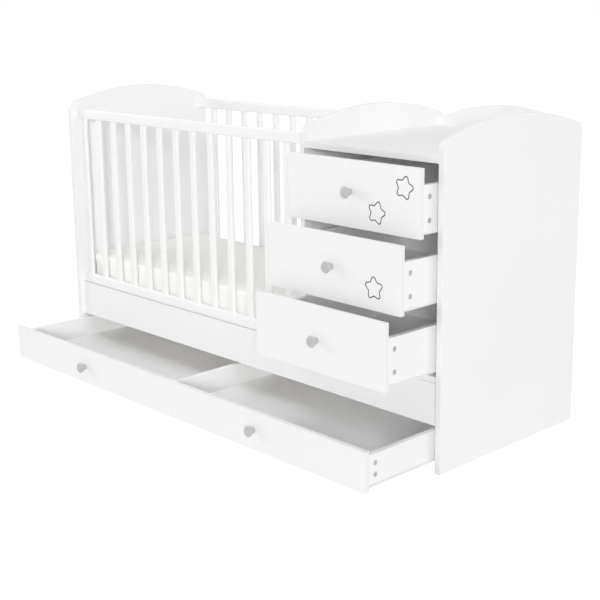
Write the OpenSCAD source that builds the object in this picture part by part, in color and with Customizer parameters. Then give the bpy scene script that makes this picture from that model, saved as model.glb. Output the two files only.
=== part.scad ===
// Convertible crib: a cot and a chest of drawers over one long bed drawer.
// X runs along the length, -Y is the front, +Z is up, and z = 0 is the floor.

/* [Frame] */
// Thickness of the three arched panels
panel_t = 18; // [15:1:25]
// Clear length of the cot between its panels
cot_l = 1198; // [1100:1:1400]
// Clear width of the chest between its panels
chest_l = 502; // [420:1:620]
// Depth of the panels, front to back
depth = 620; // [600:1:700]
// Height at which the arch would meet the panel's upright edges
edge_h = 904; // [860:1:960]
// Rise of the arch above that height
arch_rise = 52; // [30:1:80]
// Radius of the panel's upper corners
corner_r = 22; // [10:1:40]

/* [Aprons] */
// Height of the aprons' lower edge above the floor
apron_z = 128; // [110:1:160]
// Height of each apron
apron_h = 120; // [90:1:160]
// Thickness of each apron
apron_t = 16; // [15:1:22]
// Set-back of the apron from the panel's edge
apron_recess = 17; // [17:1:30]

/* [Cot sides] */
// Set-back of the rails from the panel's edge
rail_recess = 22; // [18:1:30]
// Thickness of a rail
rail_t = 20; // [18:1:26]
// Height of a rail
rail_h = 35; // [28:1:50]
// Rounding of a rail's long edges
rail_r = 5; // [1:1:8]
// Gap between the apron and the bottom rail
rail_gap = 1; // [1:1:10]
// Height of the top rail's upper edge
top_rail_h = 888; // [840:1:895]
// Number of slats in one side
slat_n = 13; // [10:1:13]
// Width of a slat
slat_w = 26; // [20:1:30]
// Thickness of a slat
slat_t = 14; // [12:1:16]
// Rounding of a slat's long edges
slat_r = 5; // [1:1:5]
// Distance from one slat to the next
slat_pitch = 89.3; // [85:0.1:90]
// Gap between the end panel and the first slat
slat_first = 24; // [10:1:40]

/* [Cot base] */
// Height of the laths' upper face
base_h = 253; // [248:1:260]
// Thickness of a lath
lath_t = 12; // [10:1:18]
// Width of a lath
lath_w = 60; // [40:1:70]
// Number of laths
lath_n = 13; // [8:1:15]
// Ledger section, width and height alike
ledger_w = 30; // [25:1:40]
// Gap between a lath's end and the rail
lath_clear = 1; // [1:1:5]

/* [Mattress] */
// Height of the mattress at its edge
mattress_h = 105; // [80:1:130]
// Gap between the mattress and the panels and rails
mattress_clear = 3; // [2:1:15]
// Rise of the mattress's middle above its edge
mattress_crown = 6; // [2:1:15]
// Rounding of the mattress's edges
mattress_r = 12; // [10:1:30]
// How far the sides are drawn in at mid height
mattress_waist = 3; // [0:1:8]
// Rounding of the mattress's corners in plan
mattress_corner = 18; // [14:1:60]
// Gap between the mattress and the laths
seat_clear = 0.3; // [0.2:0.1:1]

/* [Chest] */
// Thickness of the chest's bottom board
floor_t = 18; // [15:1:22]
// Seam between the aprons and the chest's bottom board
floor_seam = 1; // [0.5:0.5:3]
// Thickness of the changing top
top_t = 18; // [15:1:30]
// Thickness of the arched board behind the changing top
back_board_t = 16; // [12:1:25]
// Height of the arched board at its ends, above the changing top
back_board_end = 26; // [15:1:60]
// Rise of the arched board from its ends to its middle
back_board_rise = 48; // [30:1:80]
// Thickness of the back sheet
sheet_t = 3; // [2:0.5:6]

/* [Chest drawers] */
// Height of a drawer front
front_h = 185; // [150:1:220]
// Thickness of a drawer front
front_t = 16; // [15:1:16]
// Gap between a front and the panel beside it
front_side_gap = 4; // [2:1:8]
// Gap between one front and the next
front_gap = 5.5; // [3:0.5:10]
// Gap between the lowest front and the bottom board
front_low_gap = 10; // [8:1:20]
// Gap between the highest front and the changing top
front_high_gap = 6; // [3:1:15]
// How far the upper, middle and lower drawers stand open
opened = [66, 139, 198]; // [0:1:230]
// Height of a drawer's sides
side_h = 126; // [100:1:134]
// Height of the sides' lower edge above the front's
side_rise = 12.5; // [9:0.5:16]
// Thickness of drawer sides and backs
side_t = 16; // [12:1:18]
// Gap between a drawer's side and the panel beside it
side_gap = 13; // [12.7:0.1:16]
// Length of a drawer's sides
box_l = 550; // [520:1:580]
// Thickness of a drawer's bottom sheet
bottom_t = 3; // [3:0.5:6]
// Height of the bottom sheet above the sides' lower edge
bottom_rise = 10; // [8:1:14]
// Depth of the groove that holds the bottom sheet
groove_d = 6; // [4:1:8]
// Clearance round the bottom sheet in its groove
groove_clear = 0.1; // [0.1:0.1:0.5]

/* [Bed drawer] */
// Height of its front
bed_front_h = 113; // [100:1:115]
// Height of the front's lower edge above the floor
bed_front_z = 23; // [20:1:30]
// How far the bed drawer stands open
bed_opened = 270; // [0:1:380]
// Height of its sides
bed_side_h = 82; // [70:1:86]
// Height of the sides' lower edge above the front's
bed_side_rise = 13; // [8:1:16]
// Length of its sides
bed_box_l = 565; // [520:1:590]
// Height of the divider
bed_divider_h = 68; // [50:1:69]

/* [Stars] */
// Distance from a star's centre to the end of its tips
star_r = 32.2; // [20:0.1:38]
// Width of the star's grooved line
star_line = 3.3; // [1.5:0.1:4]
// Depth of the star's grooved line
star_deep = 0.8; // [0.4:0.1:2]
// Rounding of the star's tips, measured on the middle of the line
star_tip_r = 6.5; // [4:0.5:7]

/* [Knobs] */
// Diameter of the knob's face
knob_d = 32; // [26:1:40]
// Height of the knob, from the front to its face
knob_l = 26; // [20:1:34]
// Diameter of the knob's foot
knob_foot_d = 17; // [12:1:20]
// Diameter of the knob low on its flare
knob_neck_d = 19; // [14:1:22]
// Rounding of the knob's rim
knob_rim_r = 3; // [2:0.5:4]

/* [Fasteners] */
// Diameter of a cam fastener
cam_d = 15; // [12:1:18]
// Depth of a cam fastener
cam_l = 11; // [9:1:11]
// Distance from the drawer front to the cam's centre
cam_inset = 32; // [28:1:40]
// Distance between the two cams of a corner
cam_pitch = 63; // [40:1:64]
// Distance between the two cams of a bed drawer's corner
bed_cam_pitch = 32; // [25:1:40]
// Clearance round a fastener in its hole
pin_clear = 0.1; // [0.05:0.05:0.3]
// Diameter of a dowel
dowel_d = 8; // [6:1:10]
// Length of a dowel's half, in each of the two pieces that it joins
dowel_half = 12; // [10:1:14]
// Diameter of the knob's screw
screw_d = 4; // [3:0.5:5]
// How far the screw enters the knob
screw_grip = 14; // [10:1:18]
// Diameter of the screw's head
screw_head_d = 9; // [7:1:12]
// Height of the screw's head
screw_head_h = 2.5; // [2:0.5:4]

/* [Runners] */
// Length of a runner
runner_l = 500; // [400:1:510]
// Thickness of the runner's metal
metal_t = 1.2; // [1:0.1:1.5]
// Diameter of a roller
roller_d = 16; // [14:1:16]
// Width of a roller
roller_w = 8; // [6:0.5:8]
// Diameter of a roller's pin
pin_d = 5; // [4:0.5:6]
// Clearance between a roller and its pin, at the radius
pin_run = 0.08; // [0.05:0.01:0.1]
// Clearance between rollers and the flanges they run on
run_clear = 0.3; // [0.3:0.1:0.5]
// Set-back of the runners from the drawer front
runner_back = 2; // [1:1:6]
// Distance from the runner's end to the roller's axis
roller_end = 14; // [12:1:30]
// Gap between the moving rail's web and the drawer's bottom sheet
rail_web_gap = 1.5; // [1:0.5:4]

/* [Hidden] */

white = [0.95, 0.95, 0.95];
wood = [0.93, 0.92, 0.88];
cream = [0.93, 0.91, 0.85];
grey = [0.62, 0.62, 0.62];
metal = [0.75, 0.76, 0.78];
nylon = [0.88, 0.88, 0.86];

// One overrun for all cuts
over = 1;
fine = 64;
arc_fine = 720;

// Places along X
cot_x = panel_t;
middle_x = cot_x + cot_l;
chest_x = middle_x + panel_t;
right_x = chest_x + chest_l;
length = right_x + panel_t;

// The knob of the bed drawer is the foremost point, so the origin is the middle
// of the floor area from there to the panels' rear edges
origin_y = (depth - bed_opened - knob_l) / 2;

// Places along Z
apron_top = apron_z + apron_h;
low_rail_z = apron_top + rail_gap;
top_rail_z = top_rail_h - rail_h;
floor_top = apron_top + floor_seam + floor_t;
front_pitch = front_h + front_gap;
low_front_z = floor_top + front_low_gap;
top_z = low_front_z + 3 * front_h + 2 * front_gap + front_high_gap;

// Drawers are numbered from the top: 0 upper, 1 middle, 2 lower
function front_z(i) = low_front_z + (2 - i) * front_pitch;
chest_box_w = chest_l - 2 * side_gap;
bed_clear_l = length - 2 * panel_t;
bed_box_w = bed_clear_l - 2 * side_gap;

// Star places on a front, as shares of its width and height, and the tilt of one tip from upright
star_shares = [[[0.89, 0.704, -86], [0.693, 0.283, -86]], [[0.812, 0.325, 3]], []];
// Knob places as shares of the front's width and height, one for each chest drawer
knob_shares = [[0.497, 0.539], [0.494, 0.516], [0.497, 0.488]];
bed_knob_shares = [[0.25, 0.49], [0.747, 0.529]];
// Height of the knob's low flare, as a share of the knob's height
neck_share = 0.3;
// Radius of the star's notches, as a share of its tip radius
notch_share = 0.63;

module placed() {
    translate([-length / 2, -origin_y, 0]) children();
}

// Rounded rectangle from the origin
module soft_rect(w, h, r) {
    translate([r, 0]) square([w - 2 * r, h]);
    translate([0, r]) square([w, h - 2 * r]);
    for (x = [r, w - r], y = [r, h - r]) translate([x, y]) circle(r = r, $fn = fine);
}

// A bar along X whose section is given in Y and Z
module bar_x(l) {
    rotate([90, 0, 90]) linear_extrude(height = l) children();
}

module pin_x(d, l) {
    rotate([0, 90, 0]) cylinder(d = d, h = l, $fn = fine);
}

// Arched outline over the width w: upright edges, small corners and one long arc
module arch_outline(w, base, edge, rise, corner) {
    big_r = (w * w / 4 + rise * rise) / (2 * rise);
    arc_z = edge + rise - big_r;
    corner_z = arc_z + sqrt(pow(big_r - corner, 2) - pow(w / 2 - corner, 2));
    touch = w / 2 - big_r * (w / 2 - corner) / (big_r - corner);
    translate([0, base]) square([w, corner_z - base]);
    for (y = [corner, w - corner]) translate([y, corner_z]) circle(r = corner, $fn = fine);
    intersection() {
        translate([touch, base]) square([w - 2 * touch, edge + rise - base + over]);
        translate([w / 2, arc_z]) circle(r = big_r, $fn = arc_fine);
    }
}

module arched_panel(x, base) {
    translate([x, 0, 0]) bar_x(panel_t) arch_outline(depth, base, edge_h, arch_rise, corner_r);
}

// The rear side of the cot is the front side turned half round in plan
module at_rear() {
    translate([2 * cot_x + cot_l, depth, 0]) rotate([0, 0, 180]) children();
}

// Dowels: one in each rail end, two in each apron end
rail_mid_y = rail_recess + rail_t / 2;
apron_mid_y = apron_recess + apron_t / 2;
apron_dowel_shares = [0.25, 0.75];

module rail_dowel_row(grow) {
    for (z = [low_rail_z + rail_h / 2, top_rail_z + rail_h / 2], x = [cot_x, middle_x])
        translate([x - dowel_half - grow, rail_mid_y, z])
            pin_x(dowel_d + 2 * grow, 2 * (dowel_half + grow));
}

module apron_dowel_row(grow) {
    for (y = [apron_mid_y, depth - apron_mid_y], s = apron_dowel_shares, x = [cot_x, right_x])
        translate([x - dowel_half - grow, y, apron_z + s * apron_h])
            pin_x(dowel_d + 2 * grow, 2 * (dowel_half + grow));
}

module dowel_set(grow) {
    rail_dowel_row(grow);
    at_rear() rail_dowel_row(grow);
    apron_dowel_row(grow);
}

module drilled() {
    difference() {
        children();
        dowel_set(pin_clear);
    }
}

module apron() {
    drilled() translate([cot_x, apron_recess, apron_z]) cube([bed_clear_l, apron_t, apron_h]);
}

module rail(z) {
    translate([cot_x, rail_recess, z]) bar_x(cot_l) soft_rect(rail_t, rail_h, rail_r);
}

module slats() {
    slat_z = low_rail_z + rail_h;
    for (i = [0 : slat_n - 1])
        translate([cot_x + slat_first + i * slat_pitch, rail_mid_y - slat_t / 2, slat_z])
            linear_extrude(height = top_rail_z - slat_z) soft_rect(slat_w, slat_t, slat_r);
}

// Cot base
ledger_y = apron_recess + apron_t;
lath_y = rail_recess + rail_t + lath_clear;
lath_pitch = (cot_l - lath_w * lath_n) / (lath_n + 1) + lath_w;

module ledger(y) {
    translate([cot_x, y, base_h - lath_t - ledger_w]) cube([cot_l, ledger_w, ledger_w]);
}

module laths() {
    for (i = [0 : lath_n - 1])
        translate([cot_x + (i + 1) * lath_pitch - lath_w, lath_y, base_h - lath_t])
            cube([lath_w, depth - 2 * lath_y, lath_t]);
}

// Mattress: rings of points from the bottom up, closed by a flat face at each end
mattress_l = cot_l - 2 * mattress_clear;
mattress_w = depth - 2 * (rail_recess + rail_t + mattress_clear);
corner_steps = 6;
edge_steps = 4;
crown_shares = [0.12, 0.3, 0.55, 0.8, 0.97];
waist_shares = [0.3, 0.5, 0.7];

// Each station is [distance in from the outline, height]
bottom_stations = [for (k = [0 : edge_steps]) let (a = 90 * k / edge_steps)
    [mattress_r * (1 - sin(a)), mattress_r * (1 - cos(a))]];
side_stations = [for (s = waist_shares)
    [mattress_waist * sin(180 * s), mattress_r + s * (mattress_h - 2 * mattress_r)]];
top_stations = [for (k = [0 : edge_steps]) let (a = 90 * k / edge_steps)
    [mattress_r * (1 - cos(a)), mattress_h - mattress_r + mattress_r * sin(a)]];
crown_stations = [for (s = crown_shares)
    [mattress_r + s * (mattress_w / 2 - mattress_r), mattress_h + mattress_crown * (1 - pow(1 - s, 2))]];
stations = concat(bottom_stations, side_stations, top_stations, crown_stations);

// The ring's corners shrink with its distance in, down to nothing at the middle
function ring(in, z) = let (r = mattress_corner * (1 - 2 * in / mattress_w))
    [for (q = [0 : 3], k = [0 : corner_steps])
        let (a = 90 * (q + k / corner_steps),
            sx = (q == 0 || q == 3) ? 1 : -1,
            sy = (q < 2) ? 1 : -1)
        [sx * (mattress_l / 2 - in - r) + r * cos(a), sy * (mattress_w / 2 - in - r) + r * sin(a), z]];

module mattress_form() {
    n = 4 * (corner_steps + 1);
    last = len(stations) - 1;
    points = [for (s = stations) each ring(s[0], s[1])];
    walls = [for (j = [0 : last - 1], i = [0 : n - 1]) let (a = j * n + i, b = j * n + (i + 1) % n)
        each [[a, a + n, b], [b, a + n, b + n]]];
    base_fan = [for (i = [1 : n - 2]) [0, i, i + 1]];
    crown_fan = [for (i = [1 : n - 2]) [last * n, last * n + i + 1, last * n + i]];
    translate([cot_x + cot_l / 2, depth / 2, base_h + seat_clear])
        polyhedron(points = points, faces = concat(walls, base_fan, crown_fan));
}

// Chest boards
// Arched board behind the changing top, from its lower face up
module back_board() {
    big_r = (chest_l * chest_l / 4 + back_board_rise * back_board_rise) / (2 * back_board_rise);
    board_h = top_t + back_board_end + back_board_rise;
    translate([chest_x, depth, top_z]) rotate([90, 0, 0]) linear_extrude(height = back_board_t)
        intersection() {
            square([chest_l, board_h]);
            translate([chest_l / 2, board_h - big_r]) circle(r = big_r, $fn = arc_fine);
        }
}

// Star outline of rounded tips joined by straight sides, from the tips' round centres
function star_points(tip_c, tip_r, notch_r) =
    let (px = notch_r * cos(36) - tip_c, py = notch_r * sin(36),
        side = sqrt(px * px + py * py),
        turn = atan2(py, px) - acos(tip_r / side),
        steps = 6)
    [for (k = [0 : 4]) each concat(
        [for (j = [-steps : steps]) let (a = turn * j / steps, t = 90 + 72 * k)
            [tip_c * cos(t) + tip_r * cos(a + t), tip_c * sin(t) + tip_r * sin(a + t)]],
        [[notch_r * cos(126 + 72 * k), notch_r * sin(126 + 72 * k)]])];

module star_line_shape() {
    tip_c = star_r - star_line / 2 - star_tip_r;
    half = star_line / 2;
    notch = notch_share * star_r;
    difference() {
        polygon(star_points(tip_c, star_tip_r + half, notch + half));
        polygon(star_points(tip_c, star_tip_r - half, notch - half));
    }
}

// A drawer front from its lower left outer corner; the knob's screw passes through it
module plain_front(w, h, knob_places) {
    difference() {
        cube([w, front_t, h]);
        for (p = knob_places) translate([p[0], -over, p[1]]) rotate([-90, 0, 0])
            cylinder(d = screw_d + 2 * pin_clear, h = front_t + 2 * over, $fn = fine);
    }
}

chest_front_w = chest_l - 2 * front_side_gap;
function chest_knob(i) = [knob_shares[i][0] * chest_front_w, knob_shares[i][1] * front_h];

module in_chest(i) {
    placed() translate([chest_x, -opened[i], front_z(i)]) children();
}

module drawer_front(i) {
    in_chest(i) translate([front_side_gap, 0, 0]) difference() {
        plain_front(chest_front_w, front_h, [chest_knob(i)]);
        for (s = star_shares[i])
            translate([s[0] * chest_front_w, star_deep, s[1] * front_h]) rotate([90, 0, 0])
                linear_extrude(height = star_deep + over) rotate([0, 0, s[2]]) star_line_shape();
        bottom_groove(chest_front_w, side_rise);
    }
}

// Groove across the inner face of a front, for the bottom sheet
module bottom_groove(w, rise) {
    reach = side_gap + side_t - front_side_gap - groove_d - groove_clear;
    translate([reach, front_t - groove_d, rise + bottom_rise - groove_clear])
        cube([w - 2 * reach, groove_d + over, bottom_t + 2 * groove_clear]);
}

// One drawer side: its inner face is at x = side_t
module box_side(h, l, pitch) {
    difference() {
        cube([side_t, l, h]);
        translate([side_t - groove_d, -over, bottom_rise - groove_clear])
            cube([groove_d + over, l + 2 * over, bottom_t + 2 * groove_clear]);
        for (z = [h / 2 - pitch / 2, h / 2 + pitch / 2]) translate([-over, cam_inset, z])
            pin_x(cam_d + 2 * pin_clear, cam_l + over);
    }
}

module cam_pair(h, pitch) {
    for (z = [h / 2 - pitch / 2, h / 2 + pitch / 2]) translate([0, cam_inset, z]) pin_x(cam_d, cam_l);
}

// Places children in the frame of a drawer's left side, or mirrored in that of its right side
module at_side(clear_l, rise, right) {
    translate([right ? clear_l - side_gap : side_gap, front_t, rise]) mirror([right ? 1 : 0, 0, 0])
        children();
}

// The same for both runners, which stand back from the front
module at_runners(clear_l, rise) {
    for (right = [false, true])
        at_side(clear_l, rise, right) translate([0, runner_back, 0]) children();
}

module box_back(w, h, l) {
    translate([side_gap + side_t, front_t + l - side_t, bottom_rise + bottom_t + groove_clear])
        cube([w - 2 * side_t, side_t, h - bottom_rise - bottom_t - groove_clear]);
}

module box_bottom(w, l) {
    reach = side_t - groove_d;
    translate([side_gap + reach, front_t - groove_d, bottom_rise])
        cube([w - 2 * reach, l + groove_d, bottom_t]);
}

// Knob turned about its axis, which points towards the front
module knob_form() {
    face_r = knob_d / 2;
    neck_r = knob_neck_d / 2;
    rim = knob_rim_r;
    neck_l = neck_share * knob_l;
    rotate([90, 0, 0]) difference() {
        rotate_extrude($fn = fine) {
            polygon([[0, 0], [knob_foot_d / 2, 0], [knob_foot_d / 2, rim / 2], [neck_r, neck_l],
                [face_r - rim / 2, knob_l - 2 * rim], [face_r, knob_l - rim],
                [face_r - rim, knob_l - rim], [face_r - rim, knob_l], [0, knob_l]]);
            translate([face_r - rim, knob_l - rim]) circle(r = rim, $fn = fine);
        }
        translate([0, 0, -over])
            cylinder(d = screw_d + 2 * pin_clear, h = screw_grip + over, $fn = fine);
    }
}

module knob_screw() {
    translate([0, front_t, 0]) rotate([90, 0, 0]) {
        cylinder(d = screw_d, h = front_t + screw_grip, $fn = fine);
        translate([0, 0, -screw_head_h]) cylinder(d = screw_head_d, h = screw_head_h, $fn = fine);
    }
}

module drawer_sides(i) {
    in_chest(i) for (right = [false, true])
        at_side(chest_l, side_rise, right) box_side(side_h, box_l, cam_pitch);
}

module drawer_back(i) {
    in_chest(i) translate([0, 0, side_rise]) box_back(chest_box_w, side_h, box_l);
}

module drawer_bottom(i) {
    in_chest(i) translate([0, 0, side_rise]) box_bottom(chest_box_w, box_l);
}

module drawer_knob(i) {
    in_chest(i) translate([front_side_gap + chest_knob(i)[0], 0, chest_knob(i)[1]]) knob_form();
}

module drawer_fasteners(i) {
    in_chest(i) {
        for (right = [false, true]) at_side(chest_l, side_rise, right) cam_pair(side_h, cam_pitch);
        translate([front_side_gap + chest_knob(i)[0], 0, chest_knob(i)[1]]) knob_screw();
    }
}

// Runner heights, from the drawer side's lower edge
axis_z = -metal_t - run_clear - roller_d / 2;
channel_z = axis_z - roller_d / 2 - run_clear - metal_t;
channel_top = run_clear;
rail_flange = side_gap - 3 * metal_t;
channel_flange = side_gap - 2 * metal_t;

// Moving rail under a drawer's left side: a web on the side's inner face, below the bottom sheet,
// a foot that reaches out to the roller, and the tab with the rear roller's pin
module moving_rail() {
    translate([side_t, 0, -metal_t]) cube([metal_t, runner_l, metal_t + bottom_rise - rail_web_gap]);
    translate([-rail_flange, 0, -metal_t]) cube([rail_flange + side_t, runner_l, metal_t]);
    translate([-metal_t, runner_l - 2 * roller_end, axis_z - pin_d])
        cube([metal_t, 2 * roller_end, pin_d - axis_z]);
    translate([-metal_t - roller_w - run_clear, runner_l - roller_end, axis_z])
        pin_x(pin_d, roller_w + run_clear + metal_t);
}

// Fixed channel, in the frame of a closed drawer's left side, standing on the panel at -side_gap
module fixed_channel() {
    translate([-side_gap, 0, channel_z]) cube([metal_t, runner_l, channel_top + metal_t - channel_z]);
    translate([-side_gap, 0, channel_z]) cube([channel_flange, runner_l, metal_t]);
    translate([-side_gap, 2 * roller_end, channel_top])
        cube([channel_flange, runner_l - 2 * roller_end, metal_t]);
    translate([-side_gap, roller_end, axis_z]) pin_x(pin_d, metal_t + run_clear + roller_w);
}

module roller() {
    difference() {
        pin_x(roller_d, roller_w);
        translate([-over, 0, 0]) pin_x(pin_d + 2 * pin_run, roller_w + 2 * over);
    }
}

module front_roller() {
    translate([-side_gap + metal_t + run_clear, roller_end, axis_z]) roller();
}

module rear_roller() {
    translate([-metal_t - run_clear - roller_w, runner_l - roller_end, axis_z]) roller();
}

// The fixed pieces of drawer i's runners stay where the drawer is closed
module in_closed_chest(i) {
    placed() translate([chest_x, 0, front_z(i)]) children();
}

module drawer_rails(i) {
    in_chest(i) at_runners(chest_l, side_rise) moving_rail();
}

module front_rollers(i) {
    in_closed_chest(i) at_runners(chest_l, side_rise) front_roller();
}

module rear_rollers(i) {
    in_chest(i) at_runners(chest_l, side_rise) rear_roller();
}

module in_bed() {
    placed() translate([panel_t, -bed_opened, bed_front_z]) children();
}

module in_closed_bed() {
    placed() translate([panel_t, 0, bed_front_z]) children();
}

bed_front_w = bed_clear_l - 2 * front_side_gap;
bed_knobs = [for (s = bed_knob_shares) [s[0] * bed_front_w, s[1] * bed_front_h]];

module bed_side(right) {
    in_bed() at_side(bed_clear_l, bed_side_rise, right)
        box_side(bed_side_h, bed_box_l, bed_cam_pitch);
}

// Frame
module left_end_panel() {
    color(white) placed() drilled() arched_panel(0, 0);
}
module middle_panel() {
    color(white) placed() drilled() arched_panel(middle_x, apron_top);
}
module right_end_panel() {
    color(white) placed() drilled() arched_panel(right_x, 0);
}
module front_apron() {
    color(white) placed() apron();
}
module rear_apron() {
    color(white) placed() translate([0, depth, 0]) mirror([0, 1, 0]) apron();
}
module front_top_rail() {
    color(wood) placed() drilled() rail(top_rail_z);
}
module front_bottom_rail() {
    color(wood) placed() drilled() rail(low_rail_z);
}
module front_slats() {
    color(wood) placed() slats();
}
module rear_top_rail() {
    color(wood) placed() drilled() at_rear() rail(top_rail_z);
}
module rear_bottom_rail() {
    color(wood) placed() drilled() at_rear() rail(low_rail_z);
}
module rear_slats() {
    color(wood) placed() at_rear() slats();
}
module base_ledgers() {
    color(wood) placed() {
        ledger(ledger_y);
        ledger(depth - ledger_y - ledger_w);
    }
}
module base_laths() {
    color(wood) placed() laths();
}
module mattress() {
    color(cream) placed() mattress_form();
}
module frame_dowels() {
    color(wood) placed() dowel_set(0);
}

// Chest
module chest_bottom() {
    color(white) placed() translate([chest_x, apron_recess, apron_top + floor_seam])
        cube([chest_l, depth - apron_recess - sheet_t, floor_t]);
}
module changing_top() {
    color(white) placed() translate([chest_x, 0, top_z])
        cube([chest_l, depth - back_board_t, top_t]);
}
module changer_back_board() {
    color(white) placed() back_board();
}
module chest_back_sheet() {
    color(white) placed() translate([chest_x, depth - sheet_t, apron_top])
        cube([chest_l, sheet_t, top_z - apron_top]);
}
module chest_runners() {
    color(white) for (i = [0 : 2]) in_closed_chest(i) at_runners(chest_l, side_rise) fixed_channel();
}
module bed_runners() {
    color(white) in_closed_bed() at_runners(bed_clear_l, bed_side_rise) fixed_channel();
}

// Upper drawer
module upper_drawer_front() { color(white) drawer_front(0); }
module upper_drawer_sides() { color(white) drawer_sides(0); }
module upper_drawer_back() { color(white) drawer_back(0); }
module upper_drawer_bottom() { color(white) drawer_bottom(0); }
module upper_drawer_knob() { color(grey) drawer_knob(0); }
module upper_drawer_fasteners() { color(metal) drawer_fasteners(0); }
module upper_drawer_rails() { color(white) drawer_rails(0); }
module upper_front_rollers() { color(nylon) front_rollers(0); }
module upper_rear_rollers() { color(nylon) rear_rollers(0); }

// Middle drawer
module middle_drawer_front() { color(white) drawer_front(1); }
module middle_drawer_sides() { color(white) drawer_sides(1); }
module middle_drawer_back() { color(white) drawer_back(1); }
module middle_drawer_bottom() { color(white) drawer_bottom(1); }
module middle_drawer_knob() { color(grey) drawer_knob(1); }
module middle_drawer_fasteners() { color(metal) drawer_fasteners(1); }
module middle_drawer_rails() { color(white) drawer_rails(1); }
module middle_front_rollers() { color(nylon) front_rollers(1); }
module middle_rear_rollers() { color(nylon) rear_rollers(1); }

// Lower drawer
module lower_drawer_front() { color(white) drawer_front(2); }
module lower_drawer_sides() { color(white) drawer_sides(2); }
module lower_drawer_back() { color(white) drawer_back(2); }
module lower_drawer_bottom() { color(white) drawer_bottom(2); }
module lower_drawer_knob() { color(grey) drawer_knob(2); }
module lower_drawer_fasteners() { color(metal) drawer_fasteners(2); }
module lower_drawer_rails() { color(white) drawer_rails(2); }
module lower_front_rollers() { color(nylon) front_rollers(2); }
module lower_rear_rollers() { color(nylon) rear_rollers(2); }

// Bed drawer
module bed_drawer_front() {
    color(white) in_bed() translate([front_side_gap, 0, 0]) difference() {
        plain_front(bed_front_w, bed_front_h, bed_knobs);
        bottom_groove(bed_front_w, bed_side_rise);
    }
}
module bed_drawer_left_side() { color(white) bed_side(false); }
module bed_drawer_right_side() { color(white) bed_side(true); }
module bed_drawer_back() {
    color(white) in_bed() translate([0, 0, bed_side_rise]) box_back(bed_box_w, bed_side_h, bed_box_l);
}
module bed_drawer_bottom() {
    color(white) in_bed() translate([0, 0, bed_side_rise]) box_bottom(bed_box_w, bed_box_l);
}
module bed_drawer_divider() {
    color(white) in_bed()
        translate([(bed_clear_l - side_t) / 2, front_t, bed_side_rise + bottom_rise + bottom_t])
            cube([side_t, bed_box_l - side_t, bed_divider_h]);
}
module bed_drawer_knobs() {
    color(grey) in_bed() for (p = bed_knobs)
        translate([front_side_gap + p[0], 0, p[1]]) knob_form();
}
module bed_drawer_fasteners() {
    color(metal) in_bed() {
        for (right = [false, true])
            at_side(bed_clear_l, bed_side_rise, right) cam_pair(bed_side_h, bed_cam_pitch);
        for (p = bed_knobs) translate([front_side_gap + p[0], 0, p[1]]) knob_screw();
    }
}
module bed_drawer_rails() {
    color(white) in_bed() at_runners(bed_clear_l, bed_side_rise) moving_rail();
}
module bed_front_rollers() {
    color(nylon) in_closed_bed() at_runners(bed_clear_l, bed_side_rise) front_roller();
}
module bed_rear_rollers() {
    color(nylon) in_bed() at_runners(bed_clear_l, bed_side_rise) rear_roller();
}

left_end_panel();
middle_panel();
right_end_panel();
front_apron();
rear_apron();
front_top_rail();
front_bottom_rail();
front_slats();
rear_top_rail();
rear_bottom_rail();
rear_slats();
base_ledgers();
base_laths();
mattress();
frame_dowels();
chest_bottom();
changing_top();
changer_back_board();
chest_back_sheet();
chest_runners();
bed_runners();
upper_drawer_front();
upper_drawer_sides();
upper_drawer_back();
upper_drawer_bottom();
upper_drawer_knob();
upper_drawer_fasteners();
upper_drawer_rails();
upper_front_rollers();
upper_rear_rollers();
middle_drawer_front();
middle_drawer_sides();
middle_drawer_back();
middle_drawer_bottom();
middle_drawer_knob();
middle_drawer_fasteners();
middle_drawer_rails();
middle_front_rollers();
middle_rear_rollers();
lower_drawer_front();
lower_drawer_sides();
lower_drawer_back();
lower_drawer_bottom();
lower_drawer_knob();
lower_drawer_fasteners();
lower_drawer_rails();
lower_front_rollers();
lower_rear_rollers();
bed_drawer_front();
bed_drawer_left_side();
bed_drawer_right_side();
bed_drawer_back();
bed_drawer_bottom();
bed_drawer_divider();
bed_drawer_knobs();
bed_drawer_fasteners();
bed_drawer_rails();
bed_front_rollers();
bed_rear_rollers();
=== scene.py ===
# Convertible crib: a cot joined to a chest of drawers, over one long bed drawer
import math

import bmesh
import bpy
from mathutils import Matrix, Vector


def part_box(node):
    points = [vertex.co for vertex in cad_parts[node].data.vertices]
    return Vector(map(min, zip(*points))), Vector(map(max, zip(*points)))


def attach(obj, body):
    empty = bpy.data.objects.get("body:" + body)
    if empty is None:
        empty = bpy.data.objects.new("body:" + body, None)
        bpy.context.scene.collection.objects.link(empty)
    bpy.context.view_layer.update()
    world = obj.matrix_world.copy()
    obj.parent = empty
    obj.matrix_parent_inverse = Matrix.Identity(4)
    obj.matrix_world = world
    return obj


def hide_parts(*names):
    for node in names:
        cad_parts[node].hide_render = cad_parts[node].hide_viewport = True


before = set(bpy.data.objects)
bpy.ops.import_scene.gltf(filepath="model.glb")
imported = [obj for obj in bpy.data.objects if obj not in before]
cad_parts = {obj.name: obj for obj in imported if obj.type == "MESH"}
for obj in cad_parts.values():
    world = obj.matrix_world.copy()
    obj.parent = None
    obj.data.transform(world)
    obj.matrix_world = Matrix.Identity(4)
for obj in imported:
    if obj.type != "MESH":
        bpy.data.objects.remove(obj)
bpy.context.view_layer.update()        # meshes of the imported part, each placed in the world
mm = 0.001
drawers = ("upper", "middle", "lower", "bed")


# Nodes

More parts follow.
